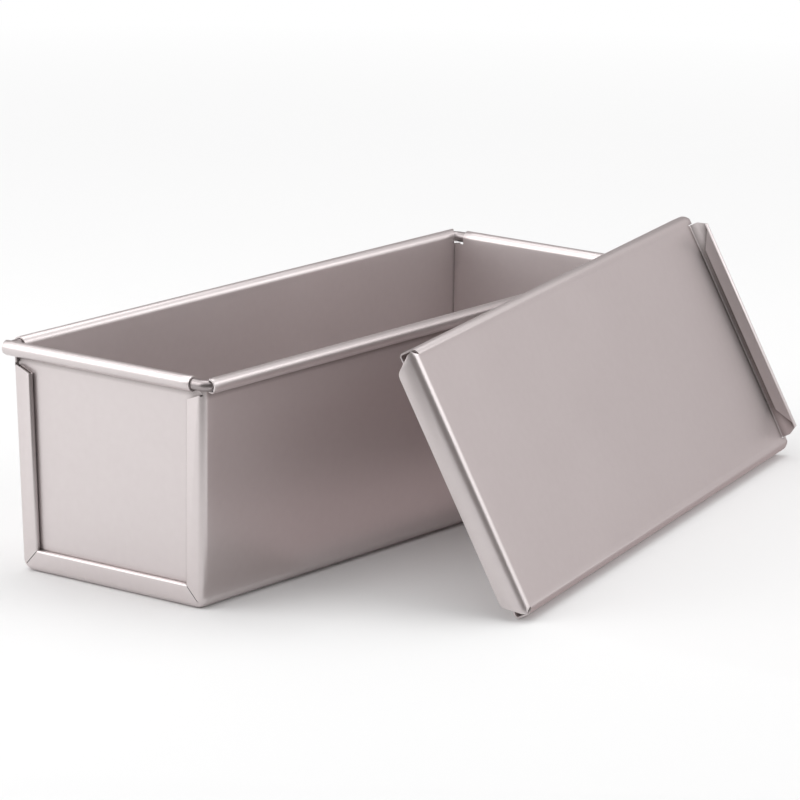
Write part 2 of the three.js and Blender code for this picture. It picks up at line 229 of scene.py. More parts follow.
@dataclass(frozen=True)
class LidSizes:
    """Sizes of the lid, its place against the pan and how it leans.

    A setback is measured in from half the lid's length or width, and the lid is shifted along X.
    """

    slide_gap: float = 0.8
    over_length: float = 1.0
    headroom: float = 0.9
    lip: float = 5.2
    channel_gap: float = 0.6
    tongue: float = 3.5
    corner_cut: float = 3.0
    panel_bend: float = 3.5
    channel_bend: float = 1.7
    stop_setback: float = 3.3
    stop_height: float = 11.4
    stop_tip_drop: float = 1.7
    stop_taper: float = 5.0
    stop_corner: float = 4.0
    grip_height: float = 8.9
    grip_setback: float = 5.5
    grip_bend: float = 1.4
    grip_lean: float = math.radians(15)
    grip_corner_cut: float = 2.8
    grip_corner_drop: float = 4.7
    grip_corner_round: float = 1.2
    hem_gap: float = 1.2
    hem_edge: float = 2.8
    hem_taper: float = 9.0
    hem_inset: float = 5.0
    round_shares: tuple[float, ...] = (0.3, 0.7)
    lean: float = math.radians(27.2)
    turn: float = math.radians(13.6)
    shift: float = 68.0


@dataclass(frozen=True)
class Smoothness:
    """How finely the round stretches are divided."""

    corner: int = 10
    bend: int = 8
    hem: int = 10
    roll: int = 48
    wire: int = 32
    cut: int = 6
    hole: int = 12


def new_object(name: str, data: bpy.types.ID) -> bpy.types.Object:
    """Puts a new object in the scene, at the origin.

    Args:
        name: Its name.
        data: Its mesh, lamp or camera.

    Returns:
        The object.
    """
    thing = bpy.data.objects.new(name, data)
    bpy.context.scene.collection.objects.link(thing)
    return thing


def new_shape(name: str, bm: BMesh) -> bpy.types.Object:
    """Puts a finished shape in the scene.

    Args:
        name: The name of its object and mesh.
        bm: The shape in metres, which is freed.

    Returns:
        The object.
    """
    mesh = bpy.data.meshes.new(name)
    bm.to_mesh(mesh)
    bm.free()
    return new_object(name, mesh)


def corners(parts: Iterable[Union[BMFace, BMEdge]]) -> list[BMVert]:
    """The vertices of faces or edges, each once and in their order."""
    return list(dict.fromkeys(v for part in parts for v in part.verts))


def unit(angle: float) -> Vector:
    """The unit vector at an angle in a section's plane."""
    return Vector((math.cos(angle), math.sin(angle)))


def arc(centre: Sequence[float], radius: float, start: float, end: float, steps: int) -> list[Vector]:
    """Points of an arc in a section's plane, both ends included.

    Args:
        centre: The arc's centre.
        radius: Its radius.
        start: Angle of the first point.
        end: Angle of the last point.
        steps: How many chords it has.

    Returns:
        The points in order.
    """
    return [Vector(centre) + radius * unit(start + (end - start) * i / steps) for i in range(steps + 1)]


class Trough:
    """The line that the body's walls and base follow, seen along the pan."""

    def __init__(self, sizes: PanSizes, steps: int) -> None:
        """Keeps the sizes and the number of steps round a base corner."""
        self.sizes = sizes
        self.steps = steps

    def at(self, inset: float) -> list[Vector]:
        """The line at a distance in from the outer face.

        Args:
            inset: Distance in from the outer face of walls and base.

        Returns:
            Points (y, z) from one wall's top, down, along the base and up the other wall.
        """
        s = self.sizes
        radius = max(s.base_radius - inset, s.crease_radius)
        centre = (s.wall_y - inset - radius, inset + radius)
        half = [Vector((s.wall_y - inset, s.corner_top)), *arc(centre, radius, 0, -QUARTER, self.steps)]
        return half + [Vector((-p.x, p.y)) for p in reversed(half)]


class Surface:
    """A surface made by pushing and turning its edges: a thin sheet's middle, or a wire's skin."""

    def __init__(self) -> None:
        """Starts an empty surface whose vertices know their station along an edge."""
        self.bm = bmesh.new()
        self.station = self.bm.verts.layers.int.new("station")

    def line(self, points: Iterable[Sequence[float]]) -> Edges:
        """Draws a first edge line.

        Args:
            points: The places of its vertices.

        Returns:
            The line's edges.
        """
        verts = [self.bm.verts.new(p) for p in points]
        for number, vert in enumerate(verts):
            vert[self.station] = number
        return [self.bm.edges.new(pair) for pair in zip(verts, verts[1:])]

    def push(self, edges: Edges, way: Sequence[float]) -> Edges:
        """Pushes edges straight on.

        Args:
            edges: The edges to push.
            way: How far and which way.

        Returns:
            The edges at the new end.
        """
        made = bmesh.ops.extrude_edge_only(self.bm, edges=edges)["geom"]
        verts = [g for g in made if isinstance(g, BMVert)]
        bmesh.ops.translate(self.bm, verts=verts, vec=Vector(way))
        new = set(verts)
        return [g for g in made if isinstance(g, BMEdge) and set(g.verts) <= new]

    def turn(self, edges: Edges, centre: Sequence[float], axis: Sequence[float], angle: float,
             steps: int) -> Edges:
        """Rolls edges on round an axis.

        Args:
            edges: The edges to turn.
            centre: A point on the axis.
            axis: The axis, by the right-hand rule.
            angle: How far to turn.
            steps: How many chords the bend has.

        Returns:
            The edges at the new end.
        """
        step = Matrix.Rotation(angle / steps, 4, Vector(axis))
        about = Matrix.Translation(Vector(centre)) @ step @ Matrix.Translation(-Vector(centre))
        for _ in range(steps):
            edges = self.push(edges, (0, 0, 0))
            bmesh.ops.transform(self.bm, matrix=about, verts=corners(edges))
        return edges

    def ring(self, edges: Edges, line: Sequence[Vector], x: float) -> Edges:
        """Pushes a trough's end on to a new line.

        Args:
            edges: The edges of the trough's end.
            line: The new (y, z) of each station.
            x: The new place along the pan.

        Returns:
            The edges at the new end.
        """
        edges = self.push(edges, (0, 0, 0))
        for vert in corners(edges):
            place = line[vert[self.station]]
            vert.co = (x, place.x, place.y)
        return edges

    def faces_since(self, before: set[BMFace]) -> list[BMFace]:
        """The faces that weren't there before."""
        return [f for f in self.bm.faces if f not in before]

    def split(self, faces: Iterable[BMFace], point: Sequence[float],
              normal: Sequence[float]) -> list[BMFace]:
        """Divides faces where a plane crosses them.

        Args:
            faces: The faces to divide.
            point: A point on the plane.
            normal: The plane's normal.

        Returns:
            All the faces that they have become.
        """
        others = set(self.bm.faces) - set(faces)
        parts = [f for f in self.bm.faces if f not in others]
        edges = dict.fromkeys(e for f in parts for e in f.edges)
        bmesh.ops.bisect_plane(self.bm, geom=[*parts, *edges, *corners(parts)], dist=SPLIT_TOLERANCE,
                               plane_co=Vector(point), plane_no=Vector(normal).normalized())
        return [f for f in self.bm.faces if f not in others]

    def cut(self, faces: Iterable[BMFace], point: Sequence[float],
            normal: Sequence[float]) -> list[BMFace]:
        """Cuts faces by a plane and drops what its normal points to.

        Args:
            faces: The faces to cut.
            point: A point on the plane.
            normal: The plane's normal, towards the offcut.

        Returns:
            The faces that are left.
        """
        parts = self.split(faces, point, normal)
        waste = [f for f in parts if (f.calc_center_median() - Vector(point)).dot(Vector(normal)) > 0]
        bmesh.ops.delete(self.bm, geom=waste, context="FACES")
        return [f for f in parts if f.is_valid]

    def slit(self, faces: Iterable[BMFace], middle: Vector, half: Vector) -> None:
        """Takes a narrow strip out of faces.

        Args:
            faces: The faces that the slit runs through.
            middle: A point on the slit's middle plane.
            half: From the middle plane to the slit's side.
        """
        for way in (half, -half):
            faces = self.split(faces, middle + way, way)
        waste = [f for f in faces if abs((f.calc_center_median() - middle).dot(half)) < half.length_squared]
        bmesh.ops.delete(self.bm, geom=waste, context="FACES")

    def punch(self, faces: Iterable[BMFace], middle: Vector, radius: float, sides: int) -> None:
        """Punches a round hole along X through faces.

        Args:
            faces: The faces round the hole.
            middle: The hole's middle.
            radius: Its radius.
            sides: How many sides its edge is drawn with.
        """
        ways = [Vector((0, *unit(2 * math.pi * i / sides))) for i in range(sides)]
        for way in ways:
            faces = self.split(faces, middle + radius * way, way)
        waste = [f for f in faces if max((f.calc_center_median() - middle).dot(way) for way in ways) < radius]
        bmesh.ops.delete(self.bm, geom=waste, context="FACES")

    def place(self, matrix: Matrix, faces: Iterable[BMFace]) -> None:
        """Moves faces by a matrix."""
        bmesh.ops.transform(self.bm, matrix=matrix, verts=corners(faces))

    def shaped(self, change: Callable[[Vector], Vector]) -> None:
        """Moves every vertex to where a function puts it."""
        for vert in self.bm.verts:
            vert.co = change(vert.co)

    def skin(self, name: str) -> bpy.types.Object:
        """Merges doubles and makes the surface an object.

        Args:
            name: The object's name.

        Returns:
            The object, in metres, at the origin.
        """
        bmesh.ops.remove_doubles(self.bm, verts=self.bm.verts, dist=MERGE_TOLERANCE)
        bmesh.ops.recalc_face_normals(self.bm, faces=self.bm.faces)
        bmesh.ops.scale(self.bm, vec=(MILLIMETRE,) * 3, verts=self.bm.verts)
        return new_shape(name, self.bm)

    def finished(self, name: str, sizes: PanSizes) -> bpy.types.Object:
        """Gives the sheet its thickness and rounded cut edges.

        Args:
            name: The object's name.
            sizes: The sizes that give the thickness and the rounding's width.

        Returns:
            The object with its final mesh, in metres, at the origin.
        """
        thing = self.skin(name)
        wall = thing.modifiers.new("thickness", "SOLIDIFY")
        wall.thickness = sizes.sheet * MILLIMETRE
        wall.offset = 0
        wall.use_even_offset = True
        rounding = thing.modifiers.new("cut edges", "BEVEL")
        rounding.width = sizes.cut_rounding * MILLIMETRE
        rounding.segments = CUT_SEGMENTS
        rounding.limit_method = "ANGLE"
        rounding.angle_limit = CUT_ANGLE
        rounding.use_clamp_overlap = True
        settle(thing)
        return thing


def settle(thing: bpy.types.Object) -> None:
    """Applies an object's modifiers and shades it smooth but for its sharp edges.

    Args:
        thing: The object, which keeps its name and gets its final mesh.
    """
    graph = bpy.context.evaluated_depsgraph_get()
    graph.update()
    final = bpy.data.meshes.new_from_object(thing.evaluated_get(graph))
    thing.modifiers.clear()
    old = thing.data
    thing.data = final
    final.name = thing.name
    bpy.data.meshes.remove(old)
    final.shade_smooth()
    final.set_sharp_from_angle(angle=SHARP_ANGLE)


class Piece:
    """What the product's pieces share: a body to ride on, a material slot and a way to be dressed."""

    body: ClassVar[Body] = Body.PAN
    slot: ClassVar[Slot] = Slot.STEEL

    def dress(self, piece: bpy.types.Object, finish: bpy.types.Material, node: str) -> None:
        """Gives a piece its finish and ties it to the frame.

        Args:
            piece: The finished piece.
            finish: Its material.
            node: The CAD node that it replaces.
        """
        piece.data.materials.clear()
        piece.data.materials.append(finish)
        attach(piece, self.body.value)
        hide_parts(node)
        LOG.info("%s: %d faces, rides on %s", piece.name, len(piece.data.polygons), self.body.value)


@dataclass
class Roll:
    """A sheet's edge rolled round the rim's wire, long at one corner and short at the other.

    Half the rim's outside length gives its reach. The joints are the places along it where the
    sheet below has vertices.
    """

    sizes: PanSizes
    fine: Smoothness
    half_rim: float
    joints: tuple[float, ...]

    def add_to(self, sheet: Surface, place: Matrix) -> None:
        """Adds the roll to a sheet.

        Args:
            sheet: The sheet that it belongs to.
            place: From the roll's frame (along the rim, out from the wire, up) to the pan's.
        """
        s = self.sizes
        before = set(sheet.bm.faces)
        lap_end = self.half_rim - s.roll_lap
        low = s.corner_top - s.rim_height
        stops = sorted({s.roll_short - self.half_rim, *self.joints, lap_end})
        edges = sheet.line((x, -s.roll_middle, low) for x in stops)
        edges = sheet.push(edges, (0, 0, -low))
        sheet.turn(edges, (0, 0, 0), (1, 0, 0), s.roll_end_angle - math.pi, self.fine.roll)
        faces = sheet.faces_since(before)
        bend_start = self.half_rim - s.roll_radius - s.wire_bend
        slant = Vector((lap_end - bend_start, s.roll_radius, 0))
        faces = sheet.cut(faces, (lap_end, 0, 0), (slant.y, -slant.x, 0))
        chamfer = Vector((s.lap_chamfer, 0, s.roll_radius / 2))
        faces = sheet.cut(faces, (lap_end, 0, -s.roll_radius / 2), (chamfer.z, 0, -chamfer.x))
        sheet.place(place, faces)


@dataclass
class PanBody(Piece):
    """One sheet for both long sides and the base, with end flaps and side rolls."""

    sizes: PanSizes
    fine: Smoothness

    def hook(self) -> list[Vector]:
        """The flap's section, from where its bend starts.

        Returns:
            Points (inset, distance out from the end panel) round the bend, the flap and its return.
        """
        s = self.sizes
        bend = (s.end_radius, s.seam_depth - s.end_radius)
        hem = (s.flap_width - s.hem_radius, s.return_layer + s.hem_radius)
        return [
            *arc(bend, s.end_radius - s.half_sheet, math.pi, QUARTER, self.fine.bend)[1:],
            *arc(hem, s.hem_radius - s.half_sheet, QUARTER, -QUARTER, self.fine.hem),
            Vector((s.end_radius, s.return_layer + s.half_sheet)),
        ]

    def close_end(self, sheet: Surface, trough: Trough, edges: Edges, end: End) -> None:
        """Folds the flap at one end, with its slanted tops and mitred corners.

        Args:
            sheet: The body's sheet.
            trough: The line that walls and base follow.
            edges: The trough's edges at that end.
            end: Which end.
        """
        s = self.sizes
        before = set(sheet.bm.faces)
        for step in self.hook():
            edges = sheet.ring(edges, trough.at(step.x), end.value * (s.end_face + step.y))
        faces = sheet.faces_since(before)
        self.open_mitres(sheet, faces)
        for side in (-1, 1):
            flap = [f for f in sheet.faces_since(before) if self.on_flap(f, side)]
            corner = Vector((0, side * (s.wall_y - s.hole_inset), s.flap_top(side, end)))
            sheet.cut(flap, corner, (0, -side * s.flap_slope, s.flap_width - s.hole_inset))
            bend = [f for f in sheet.faces_since(before) if self.on_bend(f, side)]
            below = corner - Vector((0, 0, s.hole_diameter))
            top = [f for f in sheet.split(bend, below, (0, 0, 1)) if f.calc_center_median().z > below.z]
            sheet.punch(top, corner, s.hole_diameter / 2, self.fine.hole)

    def on_flap(self, face: BMFace, side: int) -> bool:
        """Tells the part of a side's flap that is cut to a slant.

        Args:
            face: A face of the body's end.
            side: The long side, by the sign of its place along Y.

        Returns:
            Whether the face is on it.
        """
        s = self.sizes
        middle = face.calc_center_median()
        return 0 < side * middle.y < s.wall_y - s.hole_inset and middle.z > s.flap_width

    def on_bend(self, face: BMFace, side: int) -> bool:
        """Tells the bend between a side and its flap.

        Args:
            face: A face of the body's end.
            side: The long side, by the sign of its place along Y.

        Returns:
            Whether the face is on it.
        """
        s = self.sizes
        middle = face.calc_center_median()
        at_side = side * middle.y > s.wall_y - s.end_radius
        return at_side and abs(middle.x) > s.end_face and middle.z > s.base_radius

    def open_mitres(self, sheet: Surface, faces: list[BMFace]) -> None:
        """Slits the flaps where they meet at the base corners.

        Args:
            sheet: The body's sheet.
            faces: The faces of one end's flaps.
        """
        s = self.sizes
        for side in (-1, 1):
            flat = [f for f in faces if f.is_valid and min(v.co.z for v in f.verts) > s.mitre_inset]
            across = Vector((0, side, 1)).normalized()
            middle = Vector((0, side * s.wall_y, 0))
            sheet.slit(flat, middle, across * s.mitre_width / 2)

    def build(self) -> bpy.types.Object:
        """Builds the body's sheet.

        Returns:
            The finished object.
        """
        s = self.sizes
        sheet = Surface()
        trough = Trough(s, self.fine.corner)
        stops = [-s.end_face, s.roll_short - s.length / 2, s.length / 2 - s.roll_short, s.end_face]
        near = sheet.line((stops[0], p.x, p.y) for p in trough.at(s.half_sheet))
        far = near
        for here, there in zip(stops, stops[1:]):
            far = sheet.push(far, (there - here, 0, 0))
        self.close_end(sheet, trough, near, End.NEAR)
        self.close_end(sheet, trough, far, End.FAR)
        roll = Roll(s, self.fine, s.length / 2, (s.end_face, -stops[1]))
        up = Matrix.Translation((0, s.wire_y, s.rim_height))
        half_turn = Matrix.Rotation(math.pi, 4, "Z")
        roll.add_to(sheet, up)
        roll.add_to(sheet, half_turn @ up)
        sheet.shaped(s.draw_in)
        return sheet.finished("pan_body_sheet", s)

    def add(self, steel: bpy.types.Material) -> None:
        """Builds and dresses the body."""
        self.dress(self.build(), steel, "body")


@dataclass
class EndPanel(Piece):
    """A flat end with a flange hooked into the body's flaps and its own roll on top."""

    sizes: PanSizes
    fine: Smoothness

    def flange(self) -> list[Vector]:
        """The flange's section.

        Returns:
            Points (inset, distance out from the panel's inner face) from the panel to the flange's edge.
        """
        s = self.sizes
        radius = s.end_radius - s.sheet - s.seam_gap - s.half_sheet
        centre = (s.end_radius, s.seam_depth - s.end_radius)
        start = math.pi - math.asin((s.half_sheet - centre[1]) / radius)
        edge = s.flap_width - s.hem_radius - s.seam_gap
        return [
            Vector((s.roll_short - (s.width / 2 - s.wall_y), s.half_sheet)),
            *arc(centre, radius, start, QUARTER, self.fine.bend),
            Vector((edge, s.flange_layer + s.half_sheet)),
        ]

    def build(self, end: End) -> bpy.types.Object:
        """Builds one end panel.

        Args:
            end: Which end it closes.

        Returns:
            The finished object.
        """
        s = self.sizes
        sheet = Surface()
        trough = Trough(s, self.fine.corner)
        inner = trough.at(s.flap_width + s.flat_margin)
        plane = -s.end_face - s.half_sheet
        edges = sheet.line((plane, p.x, p.y) for p in inner)
        sheet.bm.faces.new({v: None for e in edges for v in e.verts})
        for step in self.flange():
            edges = sheet.ring(edges, trough.at(step.x), -s.end_face - step.y)
        under = s.rim_height - s.roll_radius - s.seat_gap
        outer = [f for f in sheet.bm.faces if f.calc_center_median().x < -s.end_face - s.return_layer]
        outer = sheet.cut(outer, (0, 0, under), (0, 0, 1))
        for side in (-1, 1):
            hidden = s.wall_y - s.hole_inset
            flange = [f for f in outer if f.is_valid and 0 < side * f.calc_center_median().y < hidden]
            corner = (0, side * hidden, s.flap_top(side, End.NEAR) - s.flange_drop)
            sheet.cut(flange, corner, (0, -side * s.flap_slope, s.flap_width - s.hole_inset))
        flat = [p.x for p in (inner[0], inner[-1])]
        joints = [s.wall_y - step.x for step in self.flange()[:2]]
        roll = Roll(s, self.fine, s.width / 2, (*flat, *joints, -joints[0]))
        to_end = Matrix.Translation((-s.wire_x, 0, s.rim_height)) @ Matrix.Rotation(QUARTER, 4, "Z")
        roll.add_to(sheet, to_end)
        sheet.shaped(s.draw_in)
        if end is End.FAR:
            sheet.place(Matrix.Rotation(math.pi, 4, "Z"), sheet.bm.faces)
        return sheet.finished(f"{end.name.lower()}_end_sheet", s)

    def add(self, steel: bpy.types.Material) -> None:
        """Builds and dresses both end panels."""
        for end in End:
            self.dress(self.build(end), steel, f"{end.name.lower()}_end_panel")


@dataclass
class RimWire(Piece):
    """One closed loop of round wire inside the rolled rim."""

    slot: ClassVar[Slot] = Slot.WIRE
    sizes: PanSizes
    fine: Smoothness

    def build(self) -> bpy.types.Object:
        """Builds the wire.

        Returns:
            The finished object.
        """
        s = self.sizes
        wire = Surface()
        half_x, half_y = s.wire_x - s.wire_bend, s.wire_y - s.wire_bend
        bmesh.ops.create_circle(wire.bm, radius=s.wire_radius, segments=self.fine.wire)
        stand = Matrix.Translation((half_x, -s.wire_y, s.rim_height)) @ Matrix.Rotation(QUARTER, 4, "Y")
        bmesh.ops.transform(wire.bm, matrix=stand, verts=wire.bm.verts)
        ends = list(wire.bm.edges)
        centre = Vector((half_x, -half_y, s.rim_height))
        for quarter, run in enumerate((2 * half_y, 2 * half_x) * 2):
            way = run * Vector((-math.sin(QUARTER * quarter), math.cos(QUARTER * quarter), 0))
            turned = bmesh.ops.spin(wire.bm, geom=[*ends, *corners(ends)], cent=centre, axis=(0, 0, 1),
                                    angle=QUARTER, steps=self.fine.corner, use_merge=False,
                                    use_duplicate=False)["geom_last"]
            ends = wire.push([g for g in turned if isinstance(g, BMEdge)], way)
            centre = centre + way
        wire.shaped(s.draw_in)
        thing = wire.skin("rim_wire_loop")
        thing.data.shade_smooth()
        return thing

    def add(self, wire: bpy.types.Material) -> None:
        """Builds and dresses the wire."""
        self.dress(self.build(), wire, "rim_wire")


@dataclass
class Lid(Piece):
    """The lid: a flat panel with two channels, a stop and a hemmed grip, folded from one sheet."""

    body: ClassVar[Body] = Body.LID
    pan: PanSizes
    sizes: LidSizes
    fine: Smoothness
    half_length: float = field(init=False)
    half_width: float = field(init=False)
    depth: float = field(init=False)
    stop_face: float = field(init=False)
    channel_start: float = field(init=False)
    panel_edge: float = field(init=False)

    def __post_init__(self) -> None:
        """Works out the lid's main sizes from the pan's rim."""
        s = self.sizes
        self.half_length = (self.pan.length + s.over_length) / 2
        self.half_width = self.pan.width / 2 + s.slide_gap + self.pan.sheet
        self.depth = 2 * self.pan.roll_radius + s.headroom + 2 * self.pan.sheet
        self.stop_face = s.stop_setback - self.half_length
        self.channel_start = self.stop_face + s.panel_bend + s.channel_gap
        self.panel_edge = self.half_width - s.panel_bend

    def add_channels(self, sheet: Surface, end: float) -> None:
        """Folds both long edges down and in.

        Args:
            sheet: The lid's sheet.
            end: Where the channels end along the lid.
        """
        s = self.sizes
        start = self.channel_start - PICK_TOLERANCE
        for side in (-1, 1):
            before = set(sheet.bm.faces)
            edge_y = side * self.panel_edge
            edges = [
                e for e in sheet.bm.edges
                if all(abs(v.co.y - edge_y) < PICK_TOLERANCE and v.co.x > start for v in e.verts)
            ]
            upper = (0, side * self.panel_edge, -s.panel_bend)
            edges = sheet.turn(edges, upper, (1, 0, 0), -side * QUARTER, self.fine.bend)
            edges = sheet.push(edges, (0, 0, s.panel_bend + s.channel_bend - self.depth))
            lower = (0, side * (self.half_width - s.channel_bend), s.channel_bend - self.depth)
            edges = sheet.turn(edges, lower, (1, 0, 0), -side * QUARTER, self.fine.bend)
            sheet.push(edges, (0, -side * (s.lip - s.channel_bend), 0))
            tongue = self.half_width - s.grip_setback
            reach = [f for f in sheet.bm.faces if side * f.calc_center_median().y > tongue or f not in before]
            corner = (end - s.corner_cut, side * self.half_width, 0)
            sheet.cut(reach, corner, (1, side, 0))

    def add_stop(self, sheet: Surface, edges: Edges) -> None:
        """Folds the near end down, tapers it with round corners below and cuts its corners off above.

        Args:
            sheet: The lid's sheet.
            edges: The panel's near edges.
        """
        s = self.sizes
        before = {f for f in sheet.bm.faces if f.calc_center_median().x > self.channel_start}
        centre = (self.stop_face + s.panel_bend, 0, -s.panel_bend)
        edges = sheet.turn(edges, centre, (0, 1, 0), -QUARTER, self.fine.bend)
        sheet.push(edges, (0, 0, s.panel_bend - s.stop_height))
        tip = self.half_width - self.pan.sheet
        slope = math.atan2(s.stop_taper, s.stop_height - s.stop_tip_drop)
        foot = tip - s.stop_taper - s.stop_corner
        faces = sheet.faces_since(before)
        for side in (-1, 1):
            corner = (0, side * tip, -s.stop_tip_drop)
            faces = sheet.cut(faces, corner, (0, side * s.stop_tip_drop, tip - self.panel_edge))
            faces = sheet.cut(faces, corner, (0, side * math.cos(slope), -math.sin(slope)))
            for way in arc((0, 0), 1, -QUARTER, -slope, self.fine.cut)[1:-1]:
                touch = Vector((foot, s.stop_corner - s.stop_height)) + s.stop_corner * way
                faces = sheet.cut(faces, (0, side * touch.x, touch.y), (0, side * way.x, way.y))

    def grip_corner_planes(self, half: float) -> list[tuple[Vector, Vector]]:
        """The planes that cut the grip's tip, with the cut's own two corners rounded.

        Args:
            half: The grip's half width.

        Returns:
            For each plane a point and an outward normal, as (y, z) on the +Y side.
        """
        s = self.sizes
        cut = Vector((s.grip_corner_drop, s.grip_corner_cut)).normalized()
        ends = (
            (Vector((half, s.grip_height - s.grip_corner_drop)), Vector((1, 0))),
            (Vector((half - s.grip_corner_cut, s.grip_height)), Vector((0, 1))),
        )
        planes = [(ends[0][0], cut)]
        for corner, flat in ends:
            middle = corner - (flat + cut) * s.grip_corner_round / (1 + flat.dot(cut))
            for share in s.round_shares:
                way = flat.lerp(cut, share).normalized()
                planes.append((middle + s.grip_corner_round * way, way))
        return planes

    def add_grip(self, sheet: Surface, edges: Edges) -> None:
        """Folds the far end up and hems it back, with its tips cut off and a tapered hem.

        Args:
            sheet: The lid's sheet.
            edges: The panel's far edges between the channels' tongues.
        """
        s, gauge = self.sizes, self.pan.sheet
        half = self.half_width - s.grip_setback - self.pan.seat_gap
        fold = gauge + s.hem_gap / 2
        fold_z = s.grip_height - fold
        across = Vector((0, 1, 0))
        hinge = Vector((self.half_length - s.grip_bend + gauge, 0, s.grip_bend - gauge))
        tilt = Matrix.Rotation(s.grip_lean, 4, across)
        lean = Matrix.Translation(hinge) @ tilt @ Matrix.Translation(-hinge)
        up = lean.to_3x3() @ Vector((0, 0, 1))
        fold_line = lean @ Vector((self.half_length + gauge - fold, 0, fold_z))
        before = set(sheet.bm.faces)
        edges = sheet.push(edges, (gauge, 0, 0))
        edges = sheet.turn(edges, hinge, across, s.grip_lean - QUARTER, self.fine.bend)
        edges = sheet.push(edges, up * (fold_z - hinge.z))
        lip = sheet.faces_since(before)
        before = set(sheet.bm.faces)
        edges = sheet.turn(edges, fold_line, across, -math.pi, self.fine.hem)
        down = sheet.push(edges, up * (s.hem_edge - fold_z))
        hem = sheet.faces_since(before)
        back = [f for e in down for f in e.link_faces]
        for side in (-1, 1):
            start = lean @ Vector((0, side * (half - s.hem_inset), fold_z))
            back = sheet.cut(back, start, side * (fold_z - s.hem_edge) * across - s.hem_taper * up)
        hem = [f for f in hem if f.is_valid] + back
        for side in (-1, 1):
            for point, normal in self.grip_corner_planes(half):
                place = lean @ Vector((0, side * point.x, point.y))
                way = side * normal.x * across + normal.y * up
                lip = sheet.cut(lip, place, way)
                hem = sheet.cut(hem, place, way)

    def resting_place(self) -> Matrix:
        """Where the lid leans.

        Returns:
            From the lid's own frame to the pan's: its lower channel on the table, its panel on the roll.
        """
        s, pan = self.sizes, self.pan
        along = Vector((math.cos(s.turn), math.sin(s.turn), 0))
        level = math.cos(s.lean)
        out = Vector((math.sin(s.turn) * level, -math.cos(s.turn) * level, math.sin(s.lean)))
        across = out.cross(along)
        middle = Vector((s.shift, 0, self.depth * out.z + self.half_width * across.z))
        rim = Vector((pan.length / 2 - pan.roll_short, -pan.wire_y, pan.rim_height))
        touch = rim + out * (pan.sheet + pan.seat_gap + pan.roll_radius)
        middle.y = (touch - middle).dot(out) / out.y
        return Matrix.Translation(middle) @ Matrix((along, across, out)).transposed().to_4x4()

    def build(self) -> bpy.types.Object:
        """Builds the lid's sheet and leans it on the pan.

        Returns:
            The finished object.
        """
        s = self.sizes
        sheet = Surface()
        notch = self.half_length - s.grip_bend
        end = self.half_length + s.tongue
        tongue_y = self.half_width - s.grip_setback
        grip_y = tongue_y - self.pan.seat_gap
        stop_y = self.half_width - self.pan.sheet
        half = [stop_y, self.panel_edge, tongue_y, grip_y]
        across = [-y for y in half] + half[::-1]
        bend_x = self.stop_face + s.panel_bend
        near = sheet.line((bend_x, y, -self.pan.half_sheet) for y in across)
        edges = sheet.push(near, (s.channel_gap, 0, 0))
        edges = [e for e in edges if max(abs(v.co.y) for v in e.verts) < self.panel_edge + PICK_TOLERANCE]
        edges = sheet.push(edges, (notch - self.channel_start, 0, 0))
        tongues = [e for e in edges if min(abs(v.co.y) for v in e.verts) > tongue_y - PICK_TOLERANCE]
        grip = [e for e in edges if max(abs(v.co.y) for v in e.verts) < grip_y + PICK_TOLERANCE]
        sheet.push(tongues, (end - notch, 0, 0))
        self.add_channels(sheet, end)
        self.add_stop(sheet, near)
        self.add_grip(sheet, grip)
        sheet.place(self.resting_place(), sheet.bm.faces)
        return sheet.finished("lid_sheet", self.pan)

    def add(self, steel: bpy.types.Material) -> None:
        """Builds and dresses the lid."""
        self.dress(self.build(), steel, "lid")


class Value:
    """A shader socket that takes part in Python sums."""

    def __init__(self, tree: bpy.types.NodeTree, socket: bpy.types.NodeSocket) -> None:
        """Keeps the tree and the socket."""
        self.tree = tree
        self.socket = socket

    def _math(self, operation: str, first: Number, second: Number) -> "Value":
        """Adds a Math node for two values.

        Args:
            operation: The node's operation.
            first: The first value.
            second: The second value.

        Returns:
            The node's output.
        """
        made = self.tree.nodes.new("ShaderNodeMath")
        made.operation = operation
        for socket, value in zip(made.inputs, (first, second)):
            if isinstance(value, Value):
                self.tree.links.new(value.socket, socket)
            else:
                socket.default_value = value
        return Value(self.tree, made.outputs[0])

    def __add__(self, other: Number) -> "Value":
        """Sum."""
        return self._math("ADD", self, other)

    def __radd__(self, other: Number) -> "Value":
        """Sum from the right."""
        return self._math("ADD", other, self)

    def __sub__(self, other: Number) -> "Value":
        """Difference."""
        return self._math("SUBTRACT", self, other)

    def __rsub__(self, other: Number) -> "Value":
        """Difference from the right."""
        return self._math("SUBTRACT", other, self)

    def __mul__(self, other: Number) -> "Value":
        """Product."""
        return self._math("MULTIPLY", self, other)

    def __rmul__(self, other: Number) -> "Value":
        """Product from the right."""
        return self._math("MULTIPLY", other, self)


